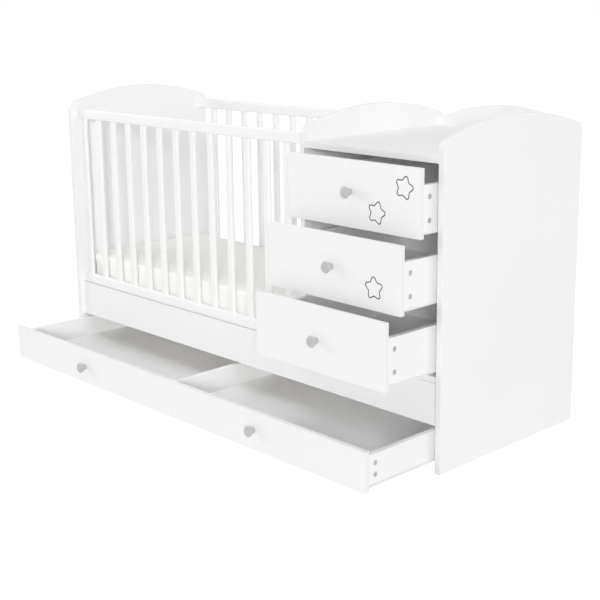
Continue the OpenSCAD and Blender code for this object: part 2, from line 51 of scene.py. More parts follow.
class Wire:
    # One output of a node; arithmetic on wires adds Math nodes to the same tree
    def __init__(self, bench, node, output=0):
        self.bench = bench
        self.node = node
        self.socket = node.outputs[output] if node.outputs else None

    def out(self, output):
        return Wire(self.bench, self.node, output)

    def math(self, operation, *values):
        return self.bench.add("ShaderNodeMath", {"operation": operation}, dict(enumerate(values)))

    def __add__(self, other):
        return self.math("ADD", self, other)

    __radd__ = __add__

    def __sub__(self, other):
        return self.math("SUBTRACT", self, other)

    def __rsub__(self, other):
        return self.math("SUBTRACT", other, self)

    def __mul__(self, other):
        return self.math("MULTIPLY", self, other)

    __rmul__ = __mul__

    def __truediv__(self, other):
        return self.math("DIVIDE", self, other)

    def __rtruediv__(self, other):
        return self.math("DIVIDE", other, self)

    def __pow__(self, other):
        return self.math("POWER", self, other)

    def __gt__(self, other):
        return self.math("GREATER_THAN", self, other)

    def __lt__(self, other):
        return self.math("LESS_THAN", self, other)

    def __abs__(self):
        return self.math("ABSOLUTE", self)

    def sine(self):
        return self.math("SINE", self)


class Bench:
    # Adds nodes to one tree: settings first, then the values or links of the sockets
    def __init__(self, tree):
        self.tree = tree
        tree.nodes.clear()

    def add(self, kind, settings=None, inputs=None, output=0):
        node = self.tree.nodes.new(kind)
        for name, value in (settings or {}).items():
            if name == "stops":
                self.setStops(node.color_ramp, value)
            else:
                setattr(node, name, value)
        for name, value in (inputs or {}).items():
            for single in value if isinstance(value, list) else [value]:
                if isinstance(single, Wire):
                    self.tree.links.new(single.socket, node.inputs[name])
                else:
                    node.inputs[name].default_value = single
        return Wire(self, node, output)

    def setStops(self, ramp, stops):
        while len(ramp.elements) < len(stops):
            ramp.elements.new(1.0)
        for element, (position, level) in zip(ramp.elements, stops):
            element.position = position
            element.color = (level, level, level, 1.0)

    def mix(self, factor, first, second):
        return self.add("ShaderNodeMix", {"data_type": "RGBA"}, {0: factor, 6: first, 7: second}, output=2)

    def stretched(self, vector, sizes):
        return self.add("ShaderNodeVectorMath", {"operation": "MULTIPLY"}, {0: vector, 1: tuple(sizes)})

    def point(self, x, y):
        return self.add("ShaderNodeCombineXYZ", {}, {0: x, 1: y})

    def noise(self, place, scale, detail=2.0, stretch=(1.0, 1.0, 1.0)):
        spot = self.stretched(place, stretch)
        return self.add("ShaderNodeTexNoise", {}, {"Vector": spot, "Scale": scale, "Detail": detail})

    def ramp(self, value, *stops):
        return self.add("ShaderNodeValToRGB", {"stops": stops}, {"Fac": value})


def tone(levels):
    # Linear colour of three screen levels from 0 to 255; a single number gives a grey
    levels = levels if isinstance(levels, tuple) else (levels, levels, levels)
    return tuple(((level / 255 + 0.055) / 1.055) ** 2.4 for level in levels) + (1.0,)


# Materials

def startMaterial(name):
    material = bpy.data.materials.new(name)
    material.use_nodes = True
    bench = Bench(material.node_tree)
    return material, bench, bench.add("ShaderNodeTexCoord", {}, {}, "Object")


def closeMaterial(bench, colour, roughness, height, depth, **constants):
    bump = bench.add("ShaderNodeBump", {}, {"Distance": depth, "Height": height})
    sockets = {"Base Color": colour, "Roughness": roughness, "Normal": bump}
    sockets.update({name.replace("_", " "): value for name, value in constants.items()})
    shader = bench.add("ShaderNodeBsdfPrincipled", {}, sockets)
    bench.add("ShaderNodeOutputMaterial", {}, {"Surface": shader})


boardLooks = {"pearlScale": 900.0, "pearlDepth": 0.03 * mm, "pearlGloss": 0.10, "cloudScale": 2.5,
              "cloudGloss": 0.05, "detail": 3.0}
boardTones = {"face": {"light": 248, "shade": 246, "roughness": 0.38},
              # The top tones are painted shade: the changing top and the board behind it are darker than the
              # faces
              "top": {"light": 241, "shade": 239, "roughness": 0.34},
              # The band tones are painted shade: board edges and cut faces are darker than the faces
              "shadedBand": {"light": 243, "shade": 242, "roughness": 0.32}}


def boardMaterial(name, tones):
    # Foil-faced board: a fine pearl texture and faint broad clouds
    material, bench, place = startMaterial(name)
    clouds = bench.noise(place, boardLooks["cloudScale"], boardLooks["detail"])
    pearl = bench.noise(place, boardLooks["pearlScale"], boardLooks["detail"])
    patches = bench.ramp(clouds, (0.35, 0.0), (0.65, 1.0))
    colour = bench.mix(patches, tone(tones["light"]), tone(tones["shade"]))
    gloss = tones["roughness"] + boardLooks["pearlGloss"] * (pearl - 0.5)
    gloss = gloss + boardLooks["cloudGloss"] * (clouds - 0.5)
    closeMaterial(bench, colour, gloss, pearl, boardLooks["pearlDepth"])
    return material


paintLooks = {"light": 249, "shade": 247, "roughness": 0.34, "acrossScale": 420.0, "alongShare": 0.03,
              "skinScale": 160.0, "grainShare": 0.7, "grainDepth": 0.09 * mm}


def paintedWoodMaterial(name, axis):
    # Satin paint that still shows the grain of the wood along one axis
    material, bench, place = startMaterial(name)
    stretch = [1.0, 1.0, 1.0]
    stretch[axis] = paintLooks["alongShare"]
    grain = bench.noise(place, paintLooks["acrossScale"], 4.0, stretch)
    skin = bench.noise(place, paintLooks["skinScale"], 2.0)
    streaks = bench.ramp(grain, (0.3, 0.0), (0.75, 1.0))
    colour = bench.mix(streaks, tone(paintLooks["light"]), tone(paintLooks["shade"]))
    gloss = paintLooks["roughness"] + 0.12 * (grain - 0.5) + 0.06 * (skin - 0.5)
    height = grain * paintLooks["grainShare"] + skin * (1 - paintLooks["grainShare"])
    closeMaterial(bench, colour, gloss, height, paintLooks["grainDepth"])
    return material


plainLooks = {"light": (248, 246, 242), "dark": (243, 240, 234), "pore": (232, 226, 216), "ringScale": 26.0,
              "alongShare": 0.05, "bendScale": 9.0, "bend": 0.08, "poreScale": 900.0, "roughness": 0.62,
              "grainDepth": 0.12 * mm}


def plainWoodMaterial(name, axis):
    # Unpainted, sanded softwood: rings drawn out along one axis, with fine pores
    material, bench, place = startMaterial(name)
    stretch = [1.0, 1.0, 1.0]
    stretch[axis] = plainLooks["alongShare"]
    bend = bench.noise(place, plainLooks["bendScale"], 2.0, stretch)
    sway = bench.stretched(bend.out("Color"), [plainLooks["bend"]] * 3)
    swayed = bench.add("ShaderNodeVectorMath", {"operation": "ADD"},
                       {0: bench.stretched(place, stretch), 1: sway})
    rings = bench.add("ShaderNodeTexWave", {"wave_type": "RINGS", "rings_direction": "SPHERICAL"},
                      {"Vector": swayed, "Scale": plainLooks["ringScale"], "Distortion": 3.0, "Detail": 2.0},
                      "Fac")
    pores = bench.noise(place, plainLooks["poreScale"], 3.0, stretch)
    streaks = bench.ramp(rings, (0.25, 0.0), (0.95, 0.75))
    colour = bench.mix(streaks, tone(plainLooks["light"]), tone(plainLooks["dark"]))
    colour = bench.mix(bench.ramp(pores, (0.58, 0.0), (0.72, 0.4)), colour, tone(plainLooks["pore"]))
    gloss = plainLooks["roughness"] + 0.12 * (pores - 0.5)
    closeMaterial(bench, colour, gloss, rings * 0.5 + pores * 0.5, plainLooks["grainDepth"])
    return material


# Finishes of two tones; scale, detail and stretch of a broad noise and, in some, of a fine one
hardboardLooks = {"tones": (247, 245), "broad": (60.0, 2.0, (1.0, 0.25, 1.0)), "fine": (700.0, 2.0),
                  "broadRelief": 0.6, "depth": 0.05 * mm, "roughness": 0.30, "gloss": "fine",
                  "glossSwing": 0.12}
cutLineLooks = {"tones": (66, 84), "broad": (1400.0, 3.0), "depth": 0.06 * mm, "roughness": 0.6,
                "gloss": "broad", "glossSwing": 0.2}
knobLooks = {"tones": (194, 186), "broad": (90.0, 2.0), "fine": (1500.0, 2.0), "depth": 0.03 * mm,
             "roughness": 0.42, "gloss": "fine", "glossSwing": 0.14}
zincLooks = {"tones": ((200, 200, 202), (182, 183, 186)), "broad": (240.0, 4.0, (1.0, 1.0, 0.3)),
             "fine": (2200.0, 2.0), "broadRelief": 0.5, "depth": 0.04 * mm, "roughness": 0.42,
             "gloss": "broad", "glossSwing": 0.25}
steelLooks = {"tones": (247, 245), "broad": (420.0, 2.0), "depth": 0.08 * mm, "roughness": 0.40,
              "gloss": "broad", "glossSwing": 0.12}
nylonLooks = {"tones": ((232, 231, 226), (222, 221, 215)), "broad": (500.0, 2.0, (4.0, 1.0, 1.0)),
              "depth": 0.05 * mm, "roughness": 0.45, "gloss": "broad", "glossSwing": 0.15}


def twoToneMaterial(name, looks, **constants):
    # The broad noise mixes the tones; the relief is the fine one's, with a share of the broad one's
    material, bench, place = startMaterial(name)
    broad = bench.noise(place, *looks["broad"])
    fine = bench.noise(place, *looks["fine"]) if "fine" in looks else broad
    first, second = [tone(levels) for levels in looks["tones"]]
    swing = fine if looks["gloss"] == "fine" else broad
    gloss = looks["roughness"] + looks["glossSwing"] * (swing - 0.5)
    height = fine
    if "broadRelief" in looks:
        height = broad * looks["broadRelief"] + fine * (1 - looks["broadRelief"])
    closeMaterial(bench, bench.mix(broad, first, second), gloss, height, looks["depth"], **constants)
    return material


# The side tones are painted light: the border is whiter than the top, as where the front lamps fall on it
coverLooks = {"light": (247, 247, 243), "shade": (241, 240, 236), "paintedLitSideLight": (254, 254, 252),
              "paintedLitSideShade": (250, 249, 246), "thread": 1.1 * mm, "wobbleScale": 35.0, "slubScale": 260.0,
              "creaseScale": 14.0, "weaveShade": 0.22, "slubShade": 0.5, "roughness": 0.85,
              "weaveDepth": 0.22 * mm}


def coverMaterial():
    # Plain-woven cotton, its threads along the two axes that lie in each side; the border is painted whiter
    # than the top, as painted light
    material, bench, place = startMaterial("wovenCover")
    axes = bench.add("ShaderNodeSeparateXYZ", {}, {"Vector": place})
    normal = bench.add("ShaderNodeNewGeometry", {}, {}, "Normal")
    facing = bench.add("ShaderNodeSeparateXYZ", {}, {"Vector": normal})
    wobble = bench.noise(place, coverLooks["wobbleScale"], 2.0)
    turns = math.pi / coverLooks["thread"]
    alongX, alongY, alongZ = [(axes.out(axis) * turns + wobble * 2.0).sine() for axis in "XYZ"]
    flat = abs(facing.out("Z")) > 0.6
    endOn = abs(facing.out("X")) > 0.7
    side = (alongX * (1 - endOn) + alongY * endOn) * alongZ
    weave = alongX * alongY * flat + side * (1 - flat)
    slub = bench.noise(place, coverLooks["slubScale"], 3.0, (0.12, 1.0, 1.0))
    crease = bench.noise(place, coverLooks["creaseScale"], 3.0)
    shade = 0.5 + coverLooks["weaveShade"] * weave + coverLooks["slubShade"] * (slub - 0.5)
    topColour = bench.mix(shade, tone(coverLooks["light"]), tone(coverLooks["shade"]))
    paintedLitSideColour = bench.mix(shade, tone(coverLooks["paintedLitSideLight"]), tone(coverLooks["paintedLitSideShade"]))
    # Sides and ends take the whiter tones as painted light; the top keeps the plain cover tones
    colour = bench.mix(bench.ramp(abs(facing.out("Z")), (0.5, 0.0), (0.9, 1.0)), paintedLitSideColour, topColour)
    gloss = coverLooks["roughness"] + 0.08 * (slub - 0.5)
    closeMaterial(bench, colour, gloss, weave * 0.5 + slub * 0.4 + crease * 2.0, coverLooks["weaveDepth"],
                  Sheen_Weight=0.2, Sheen_Roughness=0.5)
    return material


boardFace = boardMaterial("whiteBoardFace", boardTones["face"])
# Darker copy of the board for the changing top and its back board, as painted shade
shadedTopBoard = boardMaterial("whiteTopPaintedShade", boardTones["top"])
# Darker copy of the board for edges, hole walls and groove walls, as painted shade
shadedEdgeBand = boardMaterial("whiteEdgeBandPaintedShade", boardTones["shadedBand"])
cutLine = twoToneMaterial("greyCutLine", cutLineLooks)
paintUpright = paintedWoodMaterial("paintedWoodUpright", 2)
paintLevel = paintedWoodMaterial("paintedWoodLevel", 0)
woodAlong = plainWoodMaterial("plainWoodLengthwise", 0)
woodAcross = plainWoodMaterial("plainWoodCrosswise", 1)
hardboard = twoToneMaterial("lacqueredHardboard", hardboardLooks)
knobGrey = twoToneMaterial("satinGreyPlastic", knobLooks, Coat_Weight=0.15, Coat_Roughness=0.3)
zinc = twoToneMaterial("castZinc", zincLooks, Metallic=0.35)
coatedSteel = twoToneMaterial("powderCoatedSteel", steelLooks)
nylon = twoToneMaterial("mouldedNylon", nylonLooks)
coverCloth = coverMaterial()
print("materials made:", len(bpy.data.materials))


# Shapes

def shells(node):
    # Lowest and highest corner of each separate solid of a CAD node, from left to right
    mesh = bmesh.new()
    mesh.from_mesh(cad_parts[node].data)
    bmesh.ops.remove_doubles(mesh, verts=mesh.verts, dist=0.001 * mm)
    left = set(mesh.verts)
    found = []
    while left:
        queue, places = [left.pop()], []
        while queue:
            vertex = queue.pop()
            places.append(vertex.co.copy())
            near = {edge.other_vert(vertex) for edge in vertex.link_edges} & left
            left -= near
            queue += near
        found.append([Vector([end(axis) for axis in zip(*places)]) for end in (min, max)])
    mesh.free()
    return sorted(found, key=lambda corners: corners[0].x)


def newPiece(name):
    piece = bpy.data.objects.new(name, bpy.data.meshes.new(name))
    bpy.context.scene.collection.objects.link(piece)
    return piece


def seat(piece, body, slot, *nodes):
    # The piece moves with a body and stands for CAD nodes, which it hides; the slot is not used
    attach(piece, body)
    if nodes:
        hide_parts(*nodes)


def settle(piece):
    # Keeps what the modifiers make as a plain mesh
    graph = bpy.context.evaluated_depsgraph_get()
    plain = bpy.data.meshes.new_from_object(piece.evaluated_get(graph), depsgraph=graph)
    piece.modifiers.clear()
    piece.data = plain
    return piece


sharpAngle = 35.0        # degrees between two faces


def evenShade(piece, angle=sharpAngle):
    # Smooth shading that leaves large faces flat and edges steeper than the angle crisp
    piece.data.shade_smooth()
    piece.data.set_sharp_from_angle(angle=math.radians(angle))
    piece.modifiers.new("evenShade", "WEIGHTED_NORMAL").keep_sharp = True
    return settle(piece)


def startTree(name, **sizes):
    # A geometry tree with one named input for each size
    kinds = {int: "Int", float: "Float", tuple: "Vector", str: "Object"}
    tree = bpy.data.node_groups.new(name, "GeometryNodeTree")
    tree.interface.new_socket("Geometry", in_out="INPUT", socket_type="NodeSocketGeometry")
    for label, kind in sizes.items():
        tree.interface.new_socket(label, in_out="INPUT", socket_type="NodeSocket" + kinds[kind])
    tree.interface.new_socket("material", in_out="INPUT", socket_type="NodeSocketMaterial")
    tree.interface.new_socket("edgeMaterial", in_out="INPUT", socket_type="NodeSocketMaterial")
    tree.interface.new_socket("Geometry", in_out="OUTPUT", socket_type="NodeSocketGeometry")
    bench = Bench(tree)
    return tree, bench, bench.add("NodeGroupInput")


def closeTree(bench, given, shape, edges=None):
    real = bench.add("GeometryNodeRealizeInstances", {}, {"Geometry": shape})
    done = bench.add("GeometryNodeSetMaterial", {}, {"Geometry": real, "Material": given.out("material")})
    if edges is not None:
        done = bench.add("GeometryNodeSetMaterial", {},
                         {"Geometry": done, "Selection": edges, "Material": given.out("edgeMaterial")})
    bench.add("NodeGroupOutput", {}, {"Geometry": done})


def applyTree(piece, tree, **sizes):
    # Runs a tree on a piece and keeps the result as a plain mesh
    modifier = piece.modifiers.new(tree.name, "NODES")
    modifier.node_group = tree
    sockets = {item.name: item.identifier for item in tree.interface.items_tree if item.in_out == "INPUT"}
    for label, value in sizes.items():
        modifier[sockets[label]] = value
    return settle(piece)


def extruded(bench, outline, length):
    # Closed solid from a flat outline, drawn out along +Z; also which of its faces stand round the outline
    face = bench.add("GeometryNodeFillCurve", {"mode": "NGONS"}, {"Curve": outline})
    drawn = bench.add("GeometryNodeExtrudeMesh", {"mode": "FACES"},
                      {"Mesh": face, "Offset Scale": length, "Individual": False})
    under = bench.add("GeometryNodeFlipFaces", {}, {"Mesh": face})
    shell = bench.add("GeometryNodeJoinGeometry", {}, {"Geometry": [drawn, under]})
    solid = bench.add("GeometryNodeMergeByDistance", {}, {"Geometry": shell, "Distance": 0.005 * mm})
    normal = bench.add("GeometryNodeInputNormal")
    facing = bench.add("ShaderNodeSeparateXYZ", {}, {0: normal})
    return solid, abs(facing.out("Z")) < 0.5


def archedBoardTree():
    # Board with upright edges, small upper corners and one long arc between them
    tree, bench, given = startTree("archedBoard", width=float, base=float, edgeHeight=float, rise=float,
                                   corner=float, thickness=float)
    width, base, edgeHeight, rise, corner = [given.out(name) for name in
                                             ("width", "base", "edgeHeight", "rise", "corner")]
    bigRadius = (width * width / 4 + rise * rise) / (2 * rise)
    bigHeight = edgeHeight + rise - bigRadius
    reach = bigRadius - corner
    aside = width / 2 - corner
    cornerHeight = bigHeight + (reach * reach - aside * aside) ** 0.5
    lean = width.math("ARCSINE", aside / reach)
    quarter = math.pi / 2

    def arc(radius, start, sweep, x, y, steps):
        curve = bench.add("GeometryNodeCurveArc", {"mode": "RADIUS"},
                          {"Resolution": steps, "Radius": radius, "Start Angle": start, "Sweep Angle": sweep})
        return bench.add("GeometryNodeTransform", {}, {"Geometry": curve, "Translation": bench.point(x, y)})

    def line(start, end):
        return bench.add("GeometryNodeCurvePrimitiveLine", {}, {"Start": start, "End": end})

    parts = [arc(corner, 0.0, quarter - lean, width - corner, cornerHeight, 9),
             arc(bigRadius, quarter - lean, lean * 2, width / 2, bigHeight, 73),
             arc(corner, quarter + lean, quarter - lean, corner, cornerHeight, 9),
             line(bench.point(0.0, cornerHeight), bench.point(0.0, base)),
             line(bench.point(0.0, base), bench.point(width, base)),
             line(bench.point(width, base), bench.point(width, cornerHeight))]
    joined = bench.add("GeometryNodeJoinGeometry", {}, {"Geometry": parts})
    edges = bench.add("GeometryNodeCurveToMesh", {}, {"Curve": joined})
    ring = bench.add("GeometryNodeMergeByDistance", {}, {"Geometry": edges, "Distance": 0.02 * mm})
    outline = bench.add("GeometryNodeMeshToCurve", {}, {"Mesh": ring})
    closeTree(bench, given, *extruded(bench, outline, given.out("thickness")))
    return tree


def barRowTree():
    # Row of bars of rounded rectangular section, each drawn out along +Z
    tree, bench, given = startTree("barRow", width=float, depth=float, corner=float, length=float, count=int,
                                   step=tuple)
    outline = bench.add("GeometryNodeCurvePrimitiveQuadrilateral", {"mode": "RECTANGLE"},
                        {"Width": given.out("width"), "Height": given.out("depth")})
    rounded = bench.add("GeometryNodeFilletCurve", {"mode": "POLY"},
                        {"Curve": outline, "Count": 6, "Radius": given.out("corner")})
    solid = extruded(bench, rounded, given.out("length"))[0]
    places = bench.add("GeometryNodeMeshLine", {"mode": "OFFSET"},
                       {"Count": given.out("count"), "Offset": given.out("step")})
    row = bench.add("GeometryNodeInstanceOnPoints", {}, {"Points": places, "Instance": solid})
    closeTree(bench, given, row)
    return tree


def placeCopiesTree():
    # One copy of an object on each point, turned by the point's own angles
    tree, bench, given = startTree("placeCopies", copy=str)
    copy = bench.add("GeometryNodeObjectInfo", {}, {"Object": given.out("copy")}, "Geometry")
    turn = bench.add("GeometryNodeInputNamedAttribute", {"data_type": "FLOAT_VECTOR"}, {"Name": "turn"})
    placed = bench.add("GeometryNodeInstanceOnPoints", {},
                       {"Points": given, "Instance": copy, "Rotation": turn})
    closeTree(bench, given, placed)
    return tree


def roundTubeTree():
    # Tube along a closed line of points
    tree, bench, given = startTree("roundTube", radius=float)
    path = bench.add("GeometryNodeMeshToCurve", {}, {"Mesh": given})
    ring = bench.add("GeometryNodeCurvePrimitiveCircle", {"mode": "RADIUS"},
                     {"Resolution": 24, "Radius": given.out("radius")})
    closeTree(bench, given, bench.add("GeometryNodeCurveToMesh", {}, {"Curve": path, "Profile Curve": ring}))
    return tree


archedBoard = archedBoardTree()
barRow = barRowTree()
placeCopies = placeCopiesTree()
roundTube = roundTubeTree()


def addBox(mesh, low, high, thin=None, material=0):
    # Adds a box to a mesh in the making; faces round its thin axis take the second material
    made = bmesh.ops.create_cube(mesh, size=1.0)["verts"]
    for vertex in made:
        vertex.co = Vector([high[i] if vertex.co[i] > 0 else low[i] for i in range(3)])
    for face in {face for vertex in made for face in vertex.link_faces}:
        face.normal_update()
        face.material_index = 1 if thin is not None and abs(face.normal[thin]) < 0.5 else material


def addPin(mesh, start, end, radius, steps=32, material=0):
    # Adds a round pin between two points
    axis = Vector(end) - Vector(start)
    turn = axis.to_track_quat("Z", "Y").to_matrix().to_4x4()
    place = Matrix.Translation((Vector(start) + Vector(end)) / 2) @ turn
    made = bmesh.ops.create_cone(mesh, cap_ends=True, segments=steps, radius1=radius, radius2=radius,
                                 depth=axis.length, matrix=place)["verts"]
    for face in {face for vertex in made for face in vertex.link_faces}:
        face.material_index = material


def roundEdges(mesh, width):
    limit = math.radians(sharpAngle)
    sharp = [edge for edge in mesh.edges if edge.is_manifold and edge.calc_face_angle() > limit]
    bmesh.ops.bevel(mesh, geom=sharp, offset=width, segments=3, profile=0.5, affect="EDGES",
                    clamp_overlap=True, material=-1)


def fromMesh(mesh, name, *materials):
    piece = newPiece(name)
    mesh.to_mesh(piece.data)
    mesh.free()
    for material in materials:
        piece.data.materials.append(material)
    return piece


def cut(piece, tool, materials="TRANSFER", crossing=False):
    # Takes the tool's shape out of the piece; with TRANSFER the cut faces get the tool's material
    modifier = piece.modifiers.new("cut", "BOOLEAN")
    modifier.operation = "DIFFERENCE"
    modifier.solver = "EXACT"
    modifier.material_mode = materials
    modifier.use_self = crossing
    modifier.object = tool
    settle(piece)
    bpy.data.objects.remove(tool)
    return piece


def lathe(name, profile, steps, material, closed=False):
    # Turns a profile of (radius, height) points about Z; a closed profile makes a ring with a bore
    mesh = bmesh.new()
    rings = []
    for radius, height in profile:
        if radius < 1e-9:
            rings.append([mesh.verts.new((0.0, 0.0, height))])
            continue
        angles = [math.tau * i / steps for i in range(steps)]
        rings.append([mesh.verts.new((radius * math.cos(a), radius * math.sin(a), height)) for a in angles])
    pairs = list(zip(rings, rings[1:] + rings[:1] if closed else rings[1:]))
    for lower, upper in pairs:
        for i in range(steps):
            corners = [lower[i % len(lower)], lower[(i + 1) % steps % len(lower)],
                       upper[(i + 1) % steps % len(upper)], upper[i % len(upper)]]
            mesh.faces.new(list(dict.fromkeys(corners)))
    bmesh.ops.recalc_face_normals(mesh, faces=mesh.faces)
    return fromMesh(mesh, name, material)


def crossCut(piece, reach, width, top, deep):
    # Cross recess for a screwdriver, in the middle of a head that faces +Z
    mesh = bmesh.new()
    for turn in (0.0, math.pi / 2):
        made = bmesh.ops.create_cube(mesh, size=1.0)["verts"]
        for vertex in made:
            narrow = 0.72 if vertex.co.z < 0 else 1.0
            x, y, z = vertex.co
            spot = Vector((x * 2 * reach * narrow, y * width, top + z * 2 * deep))
            vertex.co = Matrix.Rotation(turn, 3, "Z") @ spot
    return cut(piece, fromMesh(mesh, "crossTool", piece.data.materials[0]), "INDEX", True)


def copiesAt(name, master, places, material):
    # Copies of a master shape at (point, angles), joined in one piece
    points = newPiece(name)
    points.data.from_pydata([tuple(point) for point, turn in places], [], [])
    turns = points.data.attributes.new("turn", "FLOAT_VECTOR", "POINT")
    for i, (point, turn) in enumerate(places):
        turns.data[i].vector = turn
    return applyTree(points, placeCopies, copy=master, material=material)


# Turns that point a shape's +Z to each side
toFront = (math.pi / 2, 0.0, 0.0)
toRear = (-math.pi / 2, 0.0, 0.0)
toLeft = (0.0, -math.pi / 2, 0.0)
toRight = (0.0, math.pi / 2, 0.0)
toFloor = (math.pi, 0.0, 0.0)

# Turns for shapes drawn out along +Z: along the length, or from the rear to the front
lengthwise = Matrix(((0, 0, 1, 0), (1, 0, 0, 0), (0, 1, 0, 0), (0, 0, 0, 1)))
rearToFront = Matrix(((1, 0, 0, 0), (0, 0, -1, 0), (0, 1, 0, 0), (0, 0, 0, 1)))


def layAt(piece, place, turn):
    piece.data.transform(Matrix.Translation(place) @ turn)


boardEdge, sheetEdge = 0.8 * mm, 0.4 * mm        # widths of the rounded edges
boardLike, sheetLike = (boardFace, shadedEdgeBand), (hardboard, shadedEdgeBand)


def boardPiece(name, body, slot, node, thin, edge=boardEdge, looks=boardLike, tool=None, boxes=None):
    # One or more rounded boards; what the tool holds is cut away after the edges are rounded
    mesh = bmesh.new()
    for low, high in boxes or [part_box(node)]:
        addBox(mesh, low, high, thin)
    roundEdges(mesh, edge)
    piece = fromMesh(mesh, name, *looks)
    if tool is not None:
        cut(piece, tool)
    evenShade(piece)
    seat(piece, body, slot, node)


# Arched panels and boards
panelLooks = {"edgeHeight": 904 * mm, "rise": 52 * mm, "corner": 22 * mm, "edge": 1.0 * mm}
dowelHole = {"radius": 4.1 * mm, "deep": 12.1 * mm}
railDowels = {"recess": 32 * mm, "heights": (266.5 * mm, 870.5 * mm)}
apronDowels = {"recess": 25 * mm, "heights": (158 * mm, 218 * mm)}


def holesFor(panel, low, high):
    # Blind dowel holes on the side of a panel that carries rails or aprons
    mesh = bmesh.new()
    x, inward = (high.x, -1) if panel == "left_end_panel" else (low.x, 1)
    rows = {"left_end_panel": (railDowels, apronDowels), "middle_panel": (railDowels,),
            "right_end_panel": (apronDowels,)}[panel]
    for row in rows:
        for y in (low.y + row["recess"], high.y - row["recess"]):
            for z in row["heights"]:
                addPin(mesh, (x - inward * 1 * mm, y, z), (x + inward * dowelHole["deep"], y, z),
                       dowelHole["radius"])
    return fromMesh(mesh, "holes", shadedEdgeBand)


def archedPiece(name, looks, face, place, turn, **sizes):
    # Board with an arched top and rounded edges, drawn flat and then turned
    piece = newPiece(name)
    applyTree(piece, archedBoard, edgeHeight=looks["edgeHeight"], rise=looks["rise"], corner=looks["corner"],
              material=face, edgeMaterial=shadedEdgeBand, **sizes)
    layAt(piece, place, turn)
    mesh = bmesh.new()
    mesh.from_mesh(piece.data)
    roundEdges(mesh, looks["edge"])
    mesh.to_mesh(piece.data)
    mesh.free()
    return piece


def archedPanel(node):
    low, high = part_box(node)
    piece = archedPiece(node + "_arched", panelLooks, boardFace, (low.x, low.y, 0.0), lengthwise,
                        width=high.y - low.y, base=low.z, thickness=high.x - low.x)
    cut(piece, holesFor(node, low, high))
    evenShade(piece)
    seat(piece, "frame", "white_board", node)


for panel in ("left_end_panel", "middle_panel", "right_end_panel"):
    archedPanel(panel)

backBoardLooks = {"edgeHeight": 44 * mm, "rise": 48 * mm, "corner": 1.5 * mm, "edge": 0.8 * mm}


def backBoard():
    # Arched board behind the changing top, its face darker as painted shade
    low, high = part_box("changer_back_board")
    piece = archedPiece("changer_back_arched", backBoardLooks, shadedTopBoard, (low.x, high.y, low.z), rearToFront,
                        width=high.x - low.x, base=0.0, thickness=high.y - low.y)
    evenShade(piece)
    seat(piece, "frame", "white_board", "changer_back_board")


backBoard()

for node, thin in (("front_apron", 1), ("rear_apron", 1), ("chest_bottom", 2), ("changing_top", 2)):
    looks = (shadedTopBoard if node == "changing_top" else boardFace, shadedEdgeBand)
    boardPiece(node + "_board", "frame", "white_board", node, thin, looks=looks)
boardPiece("chest_back_panel", "frame", "thin_board", "chest_back_sheet", 1, sheetEdge, sheetLike)
print("panels and boards made")


# Cot sides
railLooks = {"corner": 5 * mm}
slatLooks = {"width": 26 * mm, "depth": 14 * mm, "corner": 5 * mm, "count": 13, "step": 89.3 * mm}


def barPiece(name, slot, node, place, turn, **sizes):
    # One bar or an even row of bars, drawn out along +Z and then turned
    piece = newPiece(name)
    applyTree(piece, barRow, **sizes)
    layAt(piece, place, turn)
    evenShade(piece)
    seat(piece, "frame", slot, node)


def rail(node):
    low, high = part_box(node)
    barPiece(node + "_rounded", "painted_wood", node, (low.x, (low.y + high.y) / 2, (low.z + high.z) / 2),
             lengthwise, width=high.y - low.y, depth=high.z - low.z, corner=railLooks["corner"],
             length=high.x - low.x, count=1, step=(0.0, 0.0, 0.0), material=paintLevel)


def slatRow(node):
    low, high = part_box(node)
    width, step = slatLooks["width"], (slatLooks["step"], 0.0, 0.0)
    barPiece(node + "_rounded", "painted_wood", node, (low.x + width / 2, (low.y + high.y) / 2, low.z),
             Matrix.Identity(4), width=width, depth=slatLooks["depth"], corner=slatLooks["corner"],
             length=high.z - low.z, count=slatLooks["count"], step=step, material=paintUpright)


for side in ("front", "rear"):
    rail(side + "_top_rail")
    rail(side + "_bottom_rail")
    slatRow(side + "_slats")

# Cot base
lathLooks = {"width": 60 * mm, "thick": 12 * mm, "corner": 2 * mm, "count": 13}
ledgerLooks = {"side": 30 * mm, "corner": 1.5 * mm}


def cotBase():
    low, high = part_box("base_laths")
    width, count = lathLooks["width"], lathLooks["count"]
    step = (high.x - low.x - width) / (count - 1)
    barPiece("base_laths_planed", "plain_wood", "base_laths",
             (low.x + width / 2, high.y, (low.z + high.z) / 2), rearToFront, width=width,
             depth=lathLooks["thick"], corner=lathLooks["corner"], length=high.y - low.y, count=count,
             step=(step, 0.0, 0.0), material=woodAcross)
    low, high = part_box("base_ledgers")
    side = ledgerLooks["side"]
    barPiece("base_ledgers_planed", "plain_wood", "base_ledgers",
             (low.x, low.y + side / 2, low.z + side / 2), lengthwise, width=side, depth=side,
             corner=ledgerLooks["corner"], length=high.x - low.x, count=2,
             step=(high.y - low.y - side, 0.0, 0.0), material=woodAlong)


cotBase()
print("cot sides and base made")

# Mattress
padLooks = {"smaller": 5 * mm, "voxel": 6 * mm, "pressure": 4.0, "frames": 20, "quality": 5, "cap": 8 * mm,
            "inside": 0.3 * mm}


